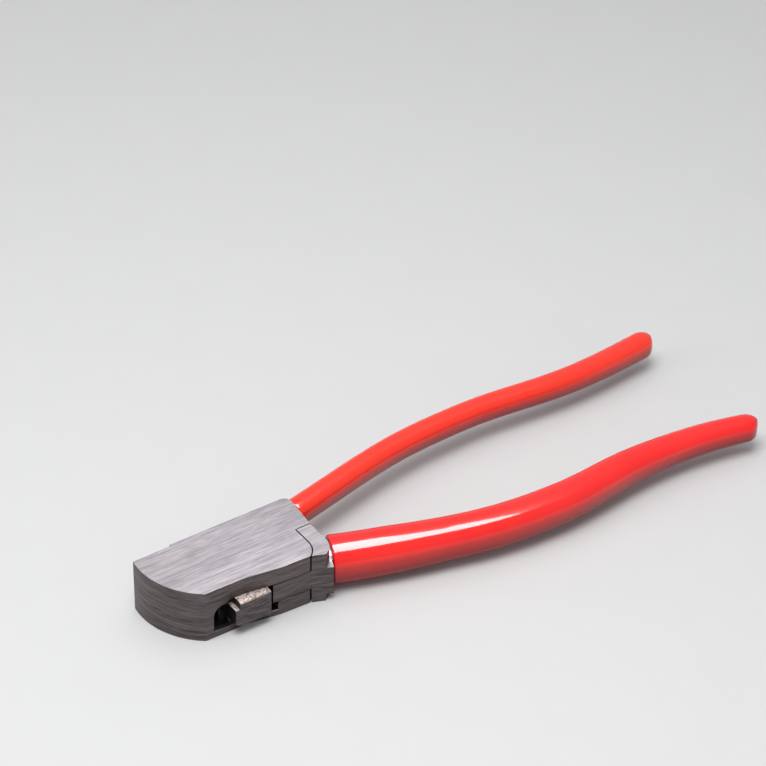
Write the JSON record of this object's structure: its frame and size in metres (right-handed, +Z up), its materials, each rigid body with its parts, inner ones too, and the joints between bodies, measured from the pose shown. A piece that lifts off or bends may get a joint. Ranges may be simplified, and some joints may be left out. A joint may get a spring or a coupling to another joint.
{
  "type": "key cutter pliers",
  "caption": "Hand-held key cutter in plier form: a steel head with a key mouth, a sliding punch carriage and jaw block, and two red dipped handles.",
  "frame": {"origin": "centre of the bounding box in plan, on the underside of the back plate", "axes": "+X from the nose to the handle ends, +Y towards the fixed handle, +Z up out of the upper cheek"},
  "size_m": [0.205, 0.061, 0.018],
  "materials": {
    "satin_steel": "satin, straight brushing along the head",
    "tool_steel": "hardened and ground",
    "jaw_steel": "ground front, rough brownish scale on top",
    "black_oxide": "black oxide, semi-matte",
    "bronze": "machined bearing bronze",
    "red_grip": "glossy dipped PVC"
  },
  "bodies": {
    "frame": {"head_frame": "satin_steel", "back_plate": "satin_steel", "plate_screws": "black_oxide", "dowel_pins": "tool_steel", "pivot_pin": "tool_steel", "thrust_washers": "bronze", "stop_pin": "tool_steel", "die": "tool_steel", "die_screw": "black_oxide", "stripper_plate": "tool_steel", "gib_strip": "bronze", "gib_screws": "black_oxide", "fixed_grip": "red_grip"},
    "handle": {"lever": "satin_steel", "pivot_bush": "bronze", "drive_pin": "tool_steel", "moving_grip": "red_grip"},
    "roller": {"drive_roller": "tool_steel"},
    "slider": {"carriage": "black_oxide", "punch": "tool_steel", "punch_screw": "black_oxide", "jaw_block": "jaw_steel", "jaw_screw": "black_oxide"}
  },
  "joints": [
    {"name": "handle_pivot", "type": "hinge", "parent": "frame", "child": "handle", "pos_m": [-0.0615, -0.0068, 0.0086], "axis": [0, 0, -1], "range_deg": [0, 18]},
    {"name": "carriage_slide", "type": "slide", "parent": "frame", "child": "slider", "axis": [1, 0, 0], "range_m": [0, 0.003]},
    {"name": "roller_spin", "type": "hinge", "parent": "handle", "child": "roller", "pos_m": [-0.06299, 0.00258, 0.0086], "axis": [0, 0, 1], "continuous": true}
  ],
  "couplings": [
    {"joint": "carriage_slide", "follows": "handle_pivot", "m_per_rad": 0.009461}
  ]
}
